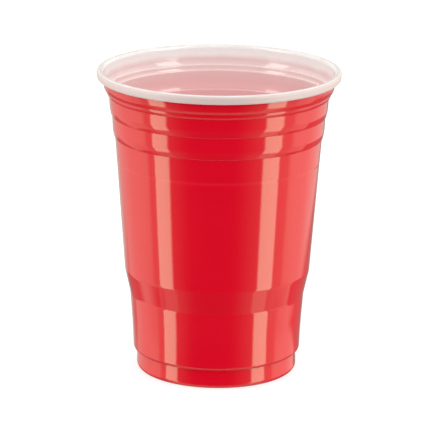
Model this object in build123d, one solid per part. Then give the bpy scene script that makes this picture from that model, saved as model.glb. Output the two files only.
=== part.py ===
from build123d import *
import math
import os

# A thin plastic party cup, formed from one sheet: a rolled lip, a flared collar over a narrow ring,
# two barrel bands, a tapered wall with a fill line, an inward step, a steeper lower wall and a foot.
# All lengths are millimetres. Radii are those of the sheet's outer face.

# Overall sizes
cup_height = 121.0
lip_radius = 48.0
foot_radius = 31.7
wall = 0.4

# A bend takes at most this share of the room that its runs leave it
bend_room_share = 0.9

# Rolled lip: the sheet runs up, over and down outside, and its edge turns back in underneath
lip_width = 2.85
lip_height = 3.6
lip_lean = 0.35
lip_edge_run = 0.9
lip_edge_rise = 0.35
lip_bend_share = 0.45
lip_edge_bend_share = 0.6

# Each tier under the lip falls with a slight taper, then tucks in at its lower end
collar_height = 4.4
collar_taper = 0.5
collar_tuck = 0.57
collar_tuck_height = 1.1
collar_ledge = 0.53
ring_height = 2.1
ring_taper = 0.12
ring_tuck = 0.38
ring_tuck_height = 0.75
ring_ledge = 0.45
upper_band_height = 7.7
lower_band_height = 8.75
band_taper = 0.32
band_tuck = 0.6
band_tuck_height = 2.1
band_ledge = 0.3
tuck_bend_share = 0.7

# A small ledge leads from the tucked end of one tier in to the top of the next
ledge_drop = 0.06
ledge_bend_share = 0.45

# Fill line: a shallow step in the tapered wall, a gap below the lower band
fill_line_gap = 9.3
fill_line_drop = 0.9
fill_line_depth = 0.1
fill_line_bend_share = 0.3

# Inward step between the tapered wall and the lower wall
step_top_height = 40.7
step_bottom_height = 31.2
step_width = 2.1
step_bend_share = 0.06

# Lower wall, which grows steeper towards its shoulder
lower_wall_taper = 1.15
knee_height = 16.5
knee_taper = 0.25
knee_bend_share = 0.8
shoulder_height = 8.8
shoulder_overhang = 1.3
shoulder_bend_share = 0.45

# Foot and base panel
foot_height = 8.0
foot_flare = 0.2
foot_ledge_width = 0.9
foot_bend_share = 0.48
standing_ring_width = 4.5
base_recess = 2.2
base_slope = 1.0
base_bend_share = 0.4


class Outline:
    """One face of the sheet, corner by corner in radius and height, with the radius of each bend."""

    def __init__(self, radius, height):
        self.corners = [Vector(radius, height)]
        self.bend_shares = []

    def line_to(self, radius, height, bend_share):
        """Runs straight to the next corner, whose bend takes a share of the shorter run beside it."""
        self.corners.append(Vector(radius, height))
        self.bend_shares.append(bend_share)

    def tier(self, height, taper, tuck, tuck_height, ledge):
        """Falls by one tier: a tapered side, a tucked end and the ledge in to the next tier."""
        top = self.corners[-1]
        side_radius = top.X - taper
        end_radius = side_radius - tuck
        bottom = top.Y - height
        self.line_to(side_radius, bottom + ledge_drop + tuck_height, tuck_bend_share)
        self.line_to(end_radius, bottom + ledge_drop, ledge_bend_share)
        self.line_to(end_radius - ledge, bottom, ledge_bend_share)

    def runs(self):
        """Straight runs between the corners."""
        return [after - before for before, after in zip(self.corners, self.corners[1:])]

    def bends(self):
        """Radius of the bend at each corner between two runs."""
        runs = self.runs()
        radii = []
        for run_in, run_out, share in zip(runs, runs[1:], self.bend_shares):
            half_turn = math.radians(run_in.get_angle(run_out) / 2)
            radii.append(share * min(run_in.length, run_out.length) / math.tan(half_turn))
        return radii

    def inner_face(self):
        """Corners and bends of the sheet's other face, one wall to the right of this one."""
        sides = [Vector(run.Y, -run.X).normalized() for run in self.runs()]
        corners = [self.corners[0] + sides[0] * wall]
        bends = []
        for corner, bend, side_in, side_out in zip(self.corners[1:], self.bends(), sides, sides[1:]):
            middle = side_in + side_out
            corners.append(corner + middle * (wall / middle.dot(side_in)))
            turns_right = side_in.cross(side_out).Z < 0
            bends.append(max(bend - wall, 0) if turns_right else bend + wall)
        corners.append(self.corners[-1] + sides[-1] * wall)
        return corners, bends


def bent_line(corners, bends):
    """Line through the corners in the XZ plane, rounded by the bends as far as there is room."""
    runs = [after - before for before, after in zip(corners, corners[1:])]
    radii = []
    taken = 0
    for bend, run_in, run_out in zip(bends, runs, runs[1:]):
        half_turn = math.radians(run_in.get_angle(run_out) / 2)
        room = bend_room_share * min(run_in.length - taken, run_out.length)
        taken = min(bend * math.tan(half_turn), room)
        radii.append(taken / math.tan(half_turn))
    places = [(corner.X, 0, corner.Y) for corner in corners]
    return FilletPolyline(*places, radius=radii)


def lip(outline):
    """Rolled lip, from the sheet's edge to the top of the collar."""
    crest = cup_height - wall
    side = lip_radius - wall
    bottom = cup_height - lip_height + wall
    collar_radius = lip_radius - lip_width + wall
    outline.line_to(side - lip_lean, bottom, lip_edge_bend_share)
    outline.line_to(side, crest, lip_bend_share)
    outline.line_to(collar_radius, crest, lip_bend_share)
    outline.line_to(collar_radius, cup_height - lip_height, ledge_bend_share)


def wall_and_step(outline):
    """Tapered wall with its fill line, the step, and the lower wall down to the shoulder."""
    top = outline.corners[-1]
    shoulder_radius = foot_radius + shoulder_overhang
    knee_radius = shoulder_radius + knee_taper
    step_radius = knee_radius + lower_wall_taper
    wall_end_radius = step_radius + step_width
    slope = (top.X - wall_end_radius - fill_line_depth) / (top.Y - step_top_height - fill_line_drop)
    fill_line_radius = top.X - slope * fill_line_gap
    fill_line_height = top.Y - fill_line_gap
    fill_line_end = fill_line_height - fill_line_drop
    outline.line_to(fill_line_radius, fill_line_height, fill_line_bend_share)
    outline.line_to(fill_line_radius - fill_line_depth, fill_line_end, fill_line_bend_share)
    outline.line_to(wall_end_radius, step_top_height, step_bend_share)
    outline.line_to(step_radius, step_bottom_height, step_bend_share)
    outline.line_to(knee_radius, knee_height, knee_bend_share)
    outline.line_to(shoulder_radius, shoulder_height, shoulder_bend_share)


def foot_and_base(outline):
    """Ledge in to the foot, the foot with its rounded edge, the standing ring and the base panel."""
    foot_top_radius = foot_radius - foot_flare
    ring_inner_radius = foot_radius - standing_ring_width
    outline.line_to(foot_top_radius + foot_ledge_width, foot_height, ledge_bend_share)
    outline.line_to(foot_top_radius, foot_height - ledge_drop, ledge_bend_share)
    outline.line_to(foot_radius, 0, foot_bend_share)
    outline.line_to(ring_inner_radius, 0, base_bend_share)
    outline.line_to(ring_inner_radius - base_slope, base_recess, base_bend_share)
    outline.corners.append(Vector(0, base_recess))


lip_edge_radius = lip_radius - wall - lip_lean - lip_edge_run
lip_edge_height = cup_height - lip_height + wall + lip_edge_rise
sheet = Outline(lip_edge_radius, lip_edge_height)
lip(sheet)
sheet.tier(collar_height, collar_taper, collar_tuck, collar_tuck_height, collar_ledge)
sheet.tier(ring_height, ring_taper, ring_tuck, ring_tuck_height, ring_ledge)
sheet.tier(upper_band_height, band_taper, band_tuck, band_tuck_height, band_ledge)
sheet.tier(lower_band_height, band_taper, band_tuck, band_tuck_height, band_ledge)
wall_and_step(sheet)
foot_and_base(sheet)

outer_line = bent_line(sheet.corners, sheet.bends())
inner_line = bent_line(*sheet.inner_face())
edge_of_lip = Line(outer_line @ 0, inner_line @ 0)
centre_of_base = Line(outer_line @ 1, inner_line @ 1)
section = make_face([*outer_line.edges(), *inner_line.edges(), edge_of_lip, centre_of_base])
cup = revolve(section, Axis.Z)

os.makedirs("parts", exist_ok=True)
export_step(cup, "parts/cup.step")
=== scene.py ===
import math
from collections import namedtuple

import bpy
from mathutils import Matrix, Vector


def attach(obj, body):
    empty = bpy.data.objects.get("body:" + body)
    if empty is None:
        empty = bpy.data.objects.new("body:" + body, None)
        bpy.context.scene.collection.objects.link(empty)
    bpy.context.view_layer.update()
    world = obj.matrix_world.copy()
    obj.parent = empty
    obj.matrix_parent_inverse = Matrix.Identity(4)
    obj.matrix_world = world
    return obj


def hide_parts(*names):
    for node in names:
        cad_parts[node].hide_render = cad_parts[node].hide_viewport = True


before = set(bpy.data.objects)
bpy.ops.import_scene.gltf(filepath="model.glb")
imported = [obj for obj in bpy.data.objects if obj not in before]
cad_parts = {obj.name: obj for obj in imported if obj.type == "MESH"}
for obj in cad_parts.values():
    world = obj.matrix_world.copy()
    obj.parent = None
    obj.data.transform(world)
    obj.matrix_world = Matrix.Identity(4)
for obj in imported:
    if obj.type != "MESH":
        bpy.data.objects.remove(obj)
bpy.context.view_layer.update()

# A thin plastic party cup, formed from one sheet that is red outside and white inside.
# All lengths are metres. Radii are those of the cup's outside.

# Overall sizes
cup_height = 0.1210
lip_radius = 0.0480
foot_radius = 0.0317
wall = 0.0004

# A bend takes at most this share of the room that its runs leave it
bend_room_share = 0.9

# Rolled lip: the sheet runs up, over and down outside, and its edge turns back in underneath
lip_width = 0.00285
lip_height = 0.0036
lip_lean = 0.00035
lip_edge_run = 0.0009
lip_edge_rise = 0.00035
lip_bend_share = 0.45
lip_edge_bend_share = 0.6

# Each tier under the lip falls with a slight taper, then tucks in at its lower end
collar_height = 0.0044
collar_taper = 0.0005
collar_tuck = 0.00057
collar_tuck_height = 0.0011
collar_ledge = 0.00053
ring_height = 0.0021
ring_taper = 0.00012
ring_tuck = 0.00038
ring_tuck_height = 0.00075
ring_ledge = 0.00045
upper_band_height = 0.0077
lower_band_height = 0.00875
band_taper = 0.00032
band_tuck = 0.0006
band_tuck_height = 0.0021
band_ledge = 0.0003
tuck_bend_share = 0.7

# A small ledge leads from the tucked end of one tier in to the top of the next
ledge_drop = 0.00006
ledge_bend_share = 0.45

# Fill line: a shallow step in the tapered wall, a gap below the lower band
fill_line_gap = 0.0093
fill_line_drop = 0.0009
fill_line_depth = 0.0001
fill_line_bend_share = 0.3
tiers_height = collar_height + ring_height + upper_band_height + lower_band_height
fill_line_top = cup_height - lip_height - tiers_height - fill_line_gap
fill_line_bottom = fill_line_top - fill_line_drop

# Inward step between the tapered wall and the lower wall
step_top_height = 0.0407
step_bottom_height = 0.0312
step_width = 0.0021
step_bend_share = 0.06

# Lower wall, which grows steeper towards its shoulder
lower_wall_taper = 0.00115
knee_height = 0.0165
knee_taper = 0.00025
knee_bend_share = 0.8
shoulder_height = 0.0088
shoulder_overhang = 0.0013
shoulder_bend_share = 0.45

# Foot and base panel
foot_height = 0.0080
foot_flare = 0.0002
foot_ledge_width = 0.0009
foot_bend_share = 0.48
standing_ring_width = 0.0045
base_recess = 0.0022
base_slope = 0.0010
base_bend_share = 0.4

# Fineness of the turned mesh, and its material slots
turn_segments = 224
bend_step = math.radians(8)
least_bend_steps = 2
least_bend = 0.00005
red_slot = 0
white_slot = 1

# Marks of the forming: fine streaks drawn down the sheet, and broad shallow waves
streak_scale = 900
streak_detail = 2
streak_stretch_share = 0.02
streak_depth = 0.0000012
wave_scale = 55
wave_detail = 1
wave_depth = 0.000014
bump_strength = 1
plastic_ior = 1.59

# Red face. A painted highlight makes the fill line a little paler than the rest, and the tone varies
# slightly
red_by_paleness_share = (
    (0.15, (0.712, 0.0036, 0.0186, 1)),
    (0.35, (0.733, 0.0043, 0.0197, 1)),
    (1.0, (0.743, 0.0140, 0.0300, 1)),
)
fill_line_highlight_share = 0.6
fill_line_highlight_width = 0.0005
fill_line_highlight_softness = 0.0012
tone_scale = 30
tone_detail = 3
tone_share = 0.5
red_specular_tint = (0.60, 1.0, 0.77, 1)
red_roughness_low = 0.05
red_roughness_high = 0.08

# White face, by height. The red shows through the sheet inside, and the last tone is the lip's outside,
# darker than the inside by painted shade
white_by_height_share = (
    (0.0, (0.86, 0.60, 0.59, 1)),
    (0.70, (0.86, 0.51, 0.51, 1)),
    (0.868, (0.86, 0.53, 0.525, 1)),
    (0.903, (0.82, 0.585, 0.57, 1)),
    (0.923, (0.81, 0.63, 0.61, 1)),
    (0.950, (0.81, 0.64, 0.625, 1)),
    (0.966, (0.89, 0.90, 0.88, 1)),
    (0.985, (0.89, 0.92, 0.90, 1)),
    # The lip's outside: the same white sheet, darker by painted shade
    (1.0, (0.655, 0.525, 0.492, 1)),
)
lip_tone_depth = 0.0009
lip_tone_softness = 0.0008
mottle_scale = 120
mottle_detail = 3
mottle_shift_share = 0.012
white_roughness_low = 0.035
white_roughness_high = 0.06
lip_roughness_gain = 0.40

# Softboxes, which only the gloss shows. Azimuths are degrees from the front, positive to the right, and
# elevations are degrees. A lower edge rises by a share of the turn between two azimuths, where it has one
Softbox = namedtuple(
    "Softbox",
    "left left_soft right right_soft bottom bottom_soft top brightness rise_share rise_from rise_to",
    defaults=(0, 0, 0),
)
softboxes = (
    # Two tall boxes in front, which make the bright upright highlights
    Softbox(-77, 3, -57.7, 4, -31.5, 5, -6, 3.5),
    Softbox(52.3, 4, 73.5, 3, -31.5, 5, -6, 3.25),
    # Their faint lower ends
    Softbox(-77, 3, -57.7, 4, -50, 20, -6, 0.45),
    Softbox(52.3, 4, 73.5, 3, -50, 20, -6, 0.85),
    # Their upper parts, which show inside the mouth
    Softbox(-76, 3, -53, 4, -2, 8, 60, 4.6),
    Softbox(44, 5, 68, 3, -2, 8, 60, 4.6),
    # Large panel at the left, in two layers that fade towards the back
    Softbox(-135, 60, -87, 5, -33, 4, 55, 0.42, 0.45, 112, 144),
    Softbox(-165, 12, -87, 5, -33, 4, 55, 0.45, 0.45, 112, 144),
    # Large panel at the right: its near part, and its far part in two layers
    Softbox(89, 5, 115, 4, -34.5, 2, 55, 0.88, 0.15, 90, 122),
    Softbox(115, 4, 148, 40, -22.3, 1.2, 55, 0.36, 0.143, 115, 160),
    Softbox(115, 4, 161, 10, -22.3, 1.2, 55, 0.52, 0.143, 115, 160),
    # Paler reach of both panels down to the table
    Softbox(-165, 12, -87, 4, -60, 10, 55, 0.30),
    Softbox(89, 4, 161, 16, -60, 10, 55, 0.30),
    # Brighter near ends of both panels
    Softbox(-106, 30, -87, 4, -22.3, 4, 55, 0.33),
    Softbox(89, 4, 108, 30, -22.3, 4, 55, 0.42),
    # Haze around the tall boxes, with more of it low down and in front
    Softbox(-87, 3, -50, 40, -50, 10, 50, 0.48),
    Softbox(42, 50, 89, 3, -50, 10, 50, 0.58),
    Softbox(-87, 3, -38, 40, -60, 10, -27, 0.12),
    Softbox(38, 40, 89, 3, -60, 10, -27, 0.15),
    Softbox(-60, 20, 60, 20, -60, 10, -27, 0.05),
    # Strips between the tall boxes and the panels
    Softbox(-87, 3, -76, 3, -35, 6, 50, 0.30),
    Softbox(73, 3, 89, 3, -35, 6, 50, 0.27),
    # Pale backdrop behind the cup
    Softbox(-190, 4, -163, 12, -60, 10, 55, 0.50),
    Softbox(161, 12, 190, 4, -60, 10, 55, 0.40),
)
softbox_colour = (1.0, 1.0, 0.90, 1)
top_softness = 12

# White table in the gloss, below an elevation. It brightens by the degree with the turn from the front,
# and loses a share past the sides
table_edge = -52
table_softness = 8
table_brightness = 0.70
table_gain_by_turn = 0.004
table_side = 100
table_side_softness = 20
table_side_loss_share = 0.6

# Fill light on the surfaces, below and above the horizon, all round and more from both sides.
# There is a little more from the right and the top, and the sides lose a share behind the cup
fill_below = 0.09
fill_above = 1.10
fill_sides_below = 3.40
fill_sides_above = 0.20
fill_right = 0.09
fill_top = 0.35
fill_loss_behind_share = 0.45
behind_softness = 0.6
horizon_softness = 0.2

# White that the camera sees behind the cup
white_light = (1, 1, 1, 1)
backdrop_brightness = 1.0

# Floor
floor_size = 6.0
floor_colour = (0.34, 0.34, 0.34, 1)
floor_lift = 0.72

# Camera. Its sensor and lens are in millimetres
camera_distance = 1.2
camera_elevation = math.radians(15.28)
camera_roll = math.radians(0.607)
target_height = 0.0605
aim_left = 0.001066
aim_up = 0.001451
sensor_width = 36.0
lens_length = 254.2


class Outline:
    """Red face of the sheet, corner by corner in radius and height, with a share for each bend."""

    def __init__(self, radius, height):
        self.corners = [Vector((radius, height))]
        self.bend_shares = []

    def line_to(self, radius, height, bend_share):
        """Runs straight to the next corner, whose bend takes a share of the shorter run beside it."""
        self.corners.append(Vector((radius, height)))
        self.bend_shares.append(bend_share)

    def tier(self, height, taper, tuck, tuck_height, ledge):
        """Falls by one tier: a tapered side, a tucked end and the ledge in to the next tier."""
        top = self.corners[-1]
        side_radius = top.x - taper
        end_radius = side_radius - tuck
        bottom = top.y - height
        self.line_to(side_radius, bottom + ledge_drop + tuck_height, tuck_bend_share)
        self.line_to(end_radius, bottom + ledge_drop, ledge_bend_share)
        self.line_to(end_radius - ledge, bottom, ledge_bend_share)

    def bends(self):
        """Radius of the bend at each corner between two runs."""
        runs = runs_between(self.corners)
        radii = []
        for run_in, run_out, share in zip(runs, runs[1:], self.bend_shares):
            half_turn = run_in.angle(run_out) / 2
            radii.append(share * min(run_in.length, run_out.length) / math.tan(half_turn))
        return radii

    def white_face(self):
        """Corners and bends of the sheet's white face, one wall to the right of the red one."""
        sides = [right_of(run) for run in runs_between(self.corners)]
        corners = [self.corners[0] + sides[0] * wall]
        bends = []
        for corner, bend, side_in, side_out in zip(self.corners[1:], self.bends(), sides, sides[1:]):
            middle = side_in + side_out
            corners.append(corner + middle * (wall / middle.dot(side_in)))
            turns_right = side_in.cross(side_out) < 0
            bends.append(max(bend - wall, least_bend) if turns_right else bend + wall)
        corners.append(self.corners[-1] + sides[-1] * wall)
        return corners, bends


def runs_between(corners):
    """Straight runs between the corners of a line."""
    return [after - before for before, after in zip(corners, corners[1:])]


def right_of(run):
    """Unit vector to the right of a run."""
    return Vector((run.y, -run.x)).normalized()


def lip(outline):
    """Rolled lip, from the sheet's edge to the top of the collar."""
    crest = cup_height - wall
    side = lip_radius - wall
    bottom = cup_height - lip_height + wall
    collar_radius = lip_radius - lip_width + wall
    outline.line_to(side - lip_lean, bottom, lip_edge_bend_share)
    outline.line_to(side, crest, lip_bend_share)
    outline.line_to(collar_radius, crest, lip_bend_share)
    outline.line_to(collar_radius, cup_height - lip_height, ledge_bend_share)


def wall_and_step(outline):
    """Tapered wall with its fill line, the step, and the lower wall down to the shoulder."""
    top = outline.corners[-1]
    shoulder_radius = foot_radius + shoulder_overhang
    knee_radius = shoulder_radius + knee_taper
    step_radius = knee_radius + lower_wall_taper
    wall_end_radius = step_radius + step_width
    slope = (top.x - wall_end_radius - fill_line_depth) / (top.y - step_top_height - fill_line_drop)
    fill_line_radius = top.x - slope * fill_line_gap
    outline.line_to(fill_line_radius, fill_line_top, fill_line_bend_share)
    outline.line_to(fill_line_radius - fill_line_depth, fill_line_bottom, fill_line_bend_share)
    outline.line_to(wall_end_radius, step_top_height, step_bend_share)
    outline.line_to(step_radius, step_bottom_height, step_bend_share)
    outline.line_to(knee_radius, knee_height, knee_bend_share)
    outline.line_to(shoulder_radius, shoulder_height, shoulder_bend_share)


def foot_and_base(outline):
    """Ledge in to the foot, the foot with its rounded edge, the standing ring and the base panel."""
    foot_top_radius = foot_radius - foot_flare
    ring_inner_radius = foot_radius - standing_ring_width
    outline.line_to(foot_top_radius + foot_ledge_width, foot_height, ledge_bend_share)
    outline.line_to(foot_top_radius, foot_height - ledge_drop, ledge_bend_share)
    outline.line_to(foot_radius, 0, foot_bend_share)
    outline.line_to(ring_inner_radius, 0, base_bend_share)
    outline.line_to(ring_inner_radius - base_slope, base_recess, base_bend_share)
    outline.corners.append(Vector((0, base_recess)))


def cup_outline():
    """The cup's red face, from the sheet's edge under the lip to the middle of the base."""
    lip_edge_radius = lip_radius - wall - lip_lean - lip_edge_run
    lip_edge_height = cup_height - lip_height + wall + lip_edge_rise
    outline = Outline(lip_edge_radius, lip_edge_height)
    lip(outline)
    outline.tier(collar_height, collar_taper, collar_tuck, collar_tuck_height, collar_ledge)
    outline.tier(ring_height, ring_taper, ring_tuck, ring_tuck_height, ring_ledge)
    outline.tier(upper_band_height, band_taper, band_tuck, band_tuck_height, band_ledge)
    outline.tier(lower_band_height, band_taper, band_tuck, band_tuck_height, band_ledge)
    wall_and_step(outline)
    foot_and_base(outline)
    return outline


def bent_line(corners, bends, facing):
    """Points of a line rounded by its bends, each with its normal.

    The normals face right of the line where facing is 1, and left where it is -1.
    """
    runs = runs_between(corners)
    points = [(corners[0], right_of(runs[0]) * facing)]
    taken = 0
    for corner, bend, run_in, run_out in zip(corners[1:], bends, runs, runs[1:]):
        side_in = right_of(run_in)
        turn = side_in.angle_signed(right_of(run_out))
        towards = 1 if turn > 0 else -1
        room = bend_room_share * min(run_in.length - taken, run_out.length)
        taken = min(bend * math.tan(abs(turn) / 2), room)
        bend = taken / math.tan(abs(turn) / 2)
        start = corner - run_in.normalized() * taken
        centre = start + side_in * bend * towards
        steps = max(least_bend_steps, math.ceil(abs(turn) / bend_step))
        for step in range(steps + 1):
            side = Matrix.Rotation(-turn * step / steps, 2) @ side_in
            points.append((centre - side * bend * towards, side * facing))
    points.append((corners[-1], right_of(runs[-1]) * facing))
    return points


def ring_faces(ring, after):
    """Faces of the turned mesh between two of its rings."""
    faces = []
    for index in range(turn_segments):
        beside = (index + 1) % turn_segments
        faces.append((
            ring * turn_segments + index,
            after * turn_segments + index,
            after * turn_segments + beside,
            ring * turn_segments + beside,
        ))
    return faces


def disc_faces(ring, middle):
    """Faces of the turned mesh between a ring and the point in its middle."""
    faces = []
    for index in range(turn_segments):
        beside = (index + 1) % turn_segments
        faces.append((ring * turn_segments + index, middle, ring * turn_segments + beside))
    return faces


def turned_faces(red_count, white_count):
    """Red and white faces of the turned mesh, from the number of points on each line."""
    red_rings = red_count - 1
    ring_count = red_rings + white_count - 1
    red_middle = ring_count * turn_segments
    white_middle = red_middle + 1
    red_faces = disc_faces(red_rings - 1, red_middle)
    for ring in range(red_rings - 1):
        red_faces += ring_faces(ring, ring + 1)
    white_faces = [face[::-1] for face in disc_faces(red_rings, white_middle)]
    for ring in range(red_rings, ring_count):
        white_faces += ring_faces(ring, (ring + 1) % ring_count)
    return red_faces, white_faces


def turned_mesh(name, red_line, white_line):
    """Closed smooth mesh, turned about Z from the two faces of the sheet.

    The rings run down the red line and back up the white one. The middles of the base come last.
    """
    places = []
    normals = []
    for point, normal in red_line[:-1] + white_line[-2::-1]:
        for index in range(turn_segments):
            turn = math.tau * index / turn_segments
            across = Vector((math.cos(turn), math.sin(turn), 0))
            places.append(across * point.x + Vector((0, 0, point.y)))
            normals.append(across * normal.x + Vector((0, 0, normal.y)))
    for point, normal in (red_line[-1], white_line[-1]):
        places.append(Vector((0, 0, point.y)))
        normals.append(Vector((0, 0, normal.y)))
    red_faces, white_faces = turned_faces(len(red_line), len(white_line))
    slots = [red_slot] * len(red_faces) + [white_slot] * len(white_faces)
    mesh = bpy.data.meshes.new(name)
    mesh.from_pydata(places, [], red_faces + white_faces)
    mesh.polygons.foreach_set("material_index", slots)
    mesh.shade_smooth()
    mesh.normals_split_custom_set_from_vertices(normals)
    mesh.validate()
    return mesh


class Shader:
    """Node tree of a material or world, with short calls for the nodes used here."""

    def __init__(self, owner):
        owner.use_nodes = True
        self.tree = owner.node_tree
        self.tree.nodes.clear()

    def put(self, socket, value):
        """Links an output to a socket, or sets the socket's own value."""
        if isinstance(value, bpy.types.NodeSocket):
            self.tree.links.new(value, socket)
        else:
            socket.default_value = value

    def node(self, kind, **inputs):
        """Adds a node and sets or links its inputs by name, with _ for a space."""
        node = self.tree.nodes.new(kind)
        for name, value in inputs.items():
            self.put(node.inputs[name.replace("_", " ")], value)
        return node

    def operation(self, kind, operation, values):
        """Adds a maths node and sets or links its inputs in order."""
        node = self.tree.nodes.new(kind)
        node.operation = operation
        for socket, value in zip(node.inputs, values):
            self.put(socket, value)
        return node

    def math(self, operation, *values):
        """Result of a maths node."""
        return self.operation("ShaderNodeMath", operation, values).outputs["Value"]

    def vector(self, operation, *values):
        """Result of a vector maths node."""
        return self.operation("ShaderNodeVectorMath", operation, values).outputs["Vector"]

    def length(self, vector):
        """Length of a vector."""
        return self.operation("ShaderNodeVectorMath", "LENGTH", [vector]).outputs["Value"]

    def span(self, value, low, high):
        """Value from 0 to 1 spread from low to high."""
        return self.node("ShaderNodeMapRange", Value=value, To_Min=low, To_Max=high).outputs["Result"]

    def edge(self, value, middle, softness):
        """Smooth rise from 0 to 1 as a value passes the middle of an edge."""
        low = middle - softness / 2
        high = middle + softness / 2
        node = self.node("ShaderNodeMapRange", Value=value, From_Min=low, From_Max=high)
        node.interpolation_type = "SMOOTHSTEP"
        return node.outputs["Result"]

    def ramp(self, value, stops):
        """Colour of a ramp through stops of place and colour."""
        node = self.node("ShaderNodeValToRGB", Fac=value)
        elements = node.color_ramp.elements
        while len(elements) < len(stops):
            elements.new(1)
        for element, (place, colour) in zip(elements, stops):
            element.position = place
            element.color = colour
        return node.outputs["Color"]

    def noise(self, vector, scale, detail):
        """Value of a noise texture."""
        return self.node("ShaderNodeTexNoise", Vector=vector, Scale=scale, Detail=detail).outputs["Fac"]

    def background(self, colour, strength):
        """Shader of a world's light."""
        return self.node("ShaderNodeBackground", Color=colour, Strength=strength).outputs["Background"]

    def mix(self, share, first, second):
        """Mix of two shaders."""
        node = self.tree.nodes.new("ShaderNodeMixShader")
        for socket, value in zip(node.inputs, (share, first, second)):
            self.put(socket, value)
        return node.outputs["Shader"]


def across_axis(shader, place):
    """Part of a place's vector that is level, straight out from the cup's axis."""
    return shader.vector("MULTIPLY", place, (1, 1, 0))


def drawn_streaks(shader, place):
    """Noise in fine lines that run down the sheet."""
    outward = shader.vector("NORMALIZE", across_axis(shader, place))
    down = shader.vector("MULTIPLY", place, (0, 0, streak_stretch_share))
    around = shader.vector("MULTIPLY_ADD", outward, (lip_radius, lip_radius, 0), down)
    return shader.noise(around, streak_scale, streak_detail)


def formed_surface(shader, place, streaks):
    """Normal with the streaks and the waves of the formed sheet."""
    waves = shader.noise(place, wave_scale, wave_detail)
    wavy = shader.node("ShaderNodeBump", Strength=bump_strength, Distance=wave_depth, Height=waves)
    streaky = shader.node(
        "ShaderNodeBump",
        Strength=bump_strength,
        Distance=streak_depth,
        Height=streaks,
        Normal=wavy.outputs["Normal"],
    )
    return streaky.outputs["Normal"]


def red_plastic():
    """Glossy red plastic of the outside."""
    material = bpy.data.materials.new("red_plastic")
    shader = Shader(material)
    place = shader.node("ShaderNodeTexCoord").outputs["Object"]
    height = shader.node("ShaderNodeSeparateXYZ", Vector=place).outputs["Z"]
    streaks = drawn_streaks(shader, place)
    # The fill line gets a painted highlight: a paler band in the red along it
    fill_line_height = (fill_line_top + fill_line_bottom) / 2
    above = shader.edge(height, fill_line_height - fill_line_highlight_width, fill_line_highlight_softness)
    below = shader.edge(height, fill_line_height + fill_line_highlight_width, fill_line_highlight_softness)
    fill_line = shader.math("SUBTRACT", above, below)
    paleness = shader.math("MULTIPLY", shader.noise(place, tone_scale, tone_detail), tone_share)
    paleness = shader.math("MULTIPLY_ADD", fill_line, fill_line_highlight_share, paleness)
    plastic = shader.node(
        "ShaderNodeBsdfPrincipled",
        Base_Color=shader.ramp(paleness, red_by_paleness_share),
        Roughness=shader.span(streaks, red_roughness_low, red_roughness_high),
        Specular_Tint=red_specular_tint,
        IOR=plastic_ior,
        Normal=formed_surface(shader, place, streaks),
    )
    shader.node("ShaderNodeOutputMaterial", Surface=plastic.outputs["BSDF"])
    return material


def white_plastic():
    """Glossy white plastic of the inside, and of the lip, which is duller on its outside and darker there
    by painted shade.
    """
    material = bpy.data.materials.new("white_plastic")
    shader = Shader(material)
    place = shader.node("ShaderNodeTexCoord").outputs["Object"]
    height = shader.node("ShaderNodeSeparateXYZ", Vector=place).outputs["Z"]
    radius = shader.length(across_axis(shader, place))
    on_lip = shader.edge(radius, lip_radius - lip_tone_depth, lip_tone_softness)
    streaks = drawn_streaks(shader, place)
    mottle = shader.noise(place, mottle_scale, mottle_detail)
    height_share = shader.math("DIVIDE", height, cup_height)
    height_share = shader.math("MULTIPLY_ADD", mottle, -mottle_shift_share, height_share)
    # On the lip's outside the ramp's last stop gives its painted shade
    height_share = shader.math("MAXIMUM", height_share, on_lip)
    roughness = shader.span(mottle, white_roughness_low, white_roughness_high)
    plastic = shader.node(
        "ShaderNodeBsdfPrincipled",
        Base_Color=shader.ramp(height_share, white_by_height_share),
        Roughness=shader.math("MULTIPLY_ADD", on_lip, lip_roughness_gain, roughness),
        IOR=plastic_ior,
        Normal=formed_surface(shader, place, streaks),
    )
    shader.node("ShaderNodeOutputMaterial", Surface=plastic.outputs["BSDF"])
    return material


def cup():
    """The cup itself, in place of its plain solid."""
    outline = cup_outline()
    red_line = bent_line(outline.corners, outline.bends(), facing=-1)
    white_line = bent_line(*outline.white_face(), facing=1)
    mesh = turned_mesh("party_cup", red_line, white_line)
    mesh.materials.append(red_plastic())
    mesh.materials.append(white_plastic())
    piece = bpy.data.objects.new("party_cup", mesh)
    bpy.context.scene.collection.objects.link(piece)
    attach(piece, "root")
    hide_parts("cup")


def pale_floor():
    """Pale matt material, lifted to white for the camera."""
    material = bpy.data.materials.new("pale_floor")
    shader = Shader(material)
    matt = shader.node("ShaderNodeBsdfDiffuse", Color=floor_colour)
    path = shader.node("ShaderNodeLightPath")
    lift = shader.math("MULTIPLY", path.outputs["Is Camera Ray"], floor_lift)
    glow = shader.node("ShaderNodeEmission", Strength=lift)
    both = shader.tree.nodes.new("ShaderNodeAddShader")
    shader.put(both.inputs[0], matt.outputs["BSDF"])
    shader.put(both.inputs[1], glow.outputs["Emission"])
    shader.node("ShaderNodeOutputMaterial", Surface=both.outputs["Shader"])
    return material


def floor():
    """Floor that takes the cup's shadow, and is left out of the cup's gloss and fill."""
    half = floor_size / 2
    corners = [(-half, -half, 0), (half, -half, 0), (half, half, 0), (-half, half, 0)]
    mesh = bpy.data.meshes.new("floor")
    mesh.from_pydata(corners, [], [tuple(range(len(corners)))])
    mesh.materials.append(pale_floor())
    plane = bpy.data.objects.new("floor", mesh)
    bpy.context.scene.collection.objects.link(plane)
    plane.visible_glossy = False
    plane.visible_diffuse = False


def table_light(shader, turn, elevation):
    """Brightness of the white table, by direction."""
    table = shader.math("MULTIPLY_ADD", turn, table_gain_by_turn, table_brightness)
    past_side = shader.edge(turn, table_side, table_side_softness)
    kept = shader.math("MULTIPLY_ADD", past_side, -table_side_loss_share, 1)
    below = shader.math("SUBTRACT", 1, shader.edge(elevation, table_edge, table_softness))
    return shader.math("MULTIPLY", table, shader.math("MULTIPLY", kept, below))


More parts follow.
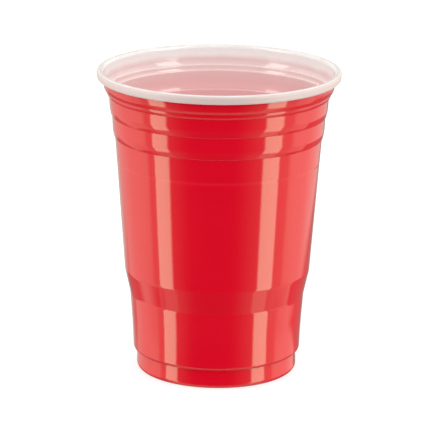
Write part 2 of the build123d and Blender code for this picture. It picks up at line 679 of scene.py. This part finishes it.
def studio_light(shader, azimuth, elevation):
    """Brightness of the table and the softboxes, by direction."""
    turn = shader.math("ABSOLUTE", azimuth)
    light = table_light(shader, turn, elevation)
    for box in softboxes:
        across = shader.edge(azimuth, box.left, box.left_soft)
        across = shader.math("SUBTRACT", across, shader.edge(azimuth, box.right, box.right_soft))
        rising = shader.math("MAXIMUM", shader.math("MINIMUM", turn, box.rise_to), box.rise_from)
        rise = shader.math("MULTIPLY", shader.math("SUBTRACT", rising, box.rise_from), box.rise_share)
        above = shader.edge(shader.math("SUBTRACT", elevation, rise), box.bottom, box.bottom_soft)
        under = shader.math("SUBTRACT", 1, shader.edge(elevation, box.top, top_softness))
        lit = shader.math("MULTIPLY", across, shader.math("MULTIPLY", above, under))
        light = shader.math("MULTIPLY_ADD", lit, box.brightness, light)
    return light


def fill_light(shader, right, back, up):
    """Brightness of the soft fill, by direction."""
    above = shader.edge(up, 0, horizon_softness)
    behind = shader.edge(back, 0, behind_softness)
    kept = shader.math("MULTIPLY_ADD", behind, -fill_loss_behind_share, 1)
    sides = shader.math("MULTIPLY_ADD", above, fill_sides_above - fill_sides_below, fill_sides_below)
    sides = shader.math("MULTIPLY", sides, kept)
    fill = shader.math("MULTIPLY_ADD", above, fill_above - fill_below, fill_below)
    fill = shader.math("MULTIPLY_ADD", shader.math("MULTIPLY", right, right), sides, fill)
    fill = shader.math("MULTIPLY_ADD", right, fill_right, fill)
    return shader.math("MULTIPLY_ADD", shader.math("MAXIMUM", up, 0), fill_top, fill)


def studio_world():
    """White to the camera, a studio of softboxes to the gloss, and soft fill to the rest."""
    world = bpy.data.worlds.new("studio")
    shader = Shader(world)
    place = shader.node("ShaderNodeTexCoord").outputs["Generated"]
    right, back, up = shader.node("ShaderNodeSeparateXYZ", Vector=place).outputs
    front = shader.math("MULTIPLY", back, -1)
    azimuth = shader.math("DEGREES", shader.math("ARCTAN2", right, front))
    elevation = shader.math("DEGREES", shader.math("ARCSINE", up))
    fill = shader.background(white_light, fill_light(shader, right, back, up))
    studio = shader.background(softbox_colour, studio_light(shader, azimuth, elevation))
    backdrop = shader.background(white_light, backdrop_brightness)
    path = shader.node("ShaderNodeLightPath")
    light = shader.mix(path.outputs["Is Glossy Ray"], fill, studio)
    light = shader.mix(path.outputs["Is Camera Ray"], light, backdrop)
    shader.node("ShaderNodeOutputWorld", Surface=light)
    bpy.context.scene.world = world


def camera():
    """Camera at the photograph's distance, height and slight roll."""
    target = Vector((0, 0, target_height))
    towards_camera = Vector((0, -math.cos(camera_elevation), math.sin(camera_elevation)))
    upward = Vector((0, math.sin(camera_elevation), math.cos(camera_elevation)))
    place = target + towards_camera * camera_distance
    aim = target + Vector((-aim_left, 0, 0)) + upward * aim_up
    data = bpy.data.cameras.new("camera")
    data.sensor_width = sensor_width
    data.lens = lens_length
    eye = bpy.data.objects.new("camera", data)
    bpy.context.scene.collection.objects.link(eye)
    turn = (aim - place).to_track_quat("-Z", "Y").to_matrix() @ Matrix.Rotation(camera_roll, 3, "Z")
    eye.matrix_world = Matrix.Translation(place) @ turn.to_4x4()
    bpy.context.scene.camera = eye


cup()
floor()
studio_world()
camera()
bpy.context.scene.view_settings.view_transform = "Standard"
